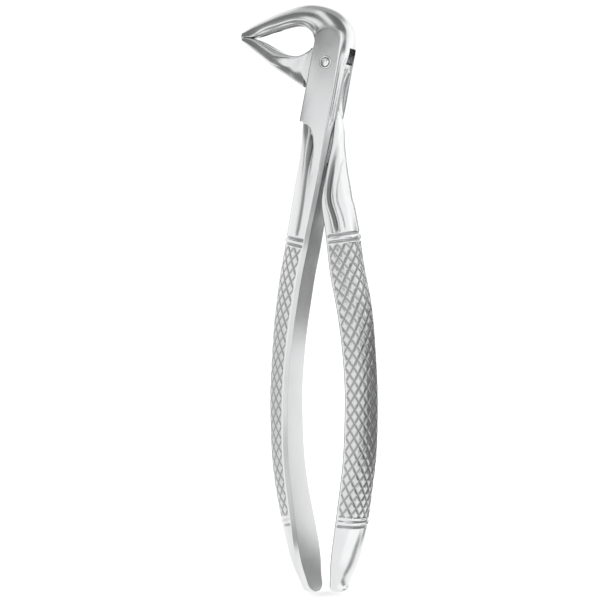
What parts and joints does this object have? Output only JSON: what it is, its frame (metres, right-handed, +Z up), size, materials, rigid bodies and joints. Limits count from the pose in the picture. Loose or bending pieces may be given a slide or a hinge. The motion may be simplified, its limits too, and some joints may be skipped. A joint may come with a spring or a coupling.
{
  "type": "extraction forceps",
  "caption": "English-pattern extraction forceps: hawk-bill beaks at right angles to long bowed handles, levers crossing in a riveted box joint.",
  "frame": {"origin": "where the rivet's axis leaves the flat back face of the joint; the rivet's flush tail end lies there", "axes": "+Z up along the closed instrument towards the beaks, +Y out of the back of the joint, +X away from the beak tips"},
  "size_m": [0.045, 0.0166, 0.1769],
  "materials": {
    "lever_steel": "satin-polished stainless steel, fine lengthwise grain, diamond knurl on the handles' outer sides",
    "rivet_steel": "polished stainless steel rivet head"
  },
  "bodies": {
    "box_half": {"box_lever": "lever_steel", "joint_rivet": "rivet_steel"},
    "tenon_half": {"tenon_lever": "lever_steel"}
  },
  "joints": [
    {"name": "joint_pivot", "type": "hinge", "parent": "box_half", "child": "tenon_half", "pos_m": [0, 0, 0], "axis": [0, -1, 0], "range_deg": [0, 25]}
  ]
}
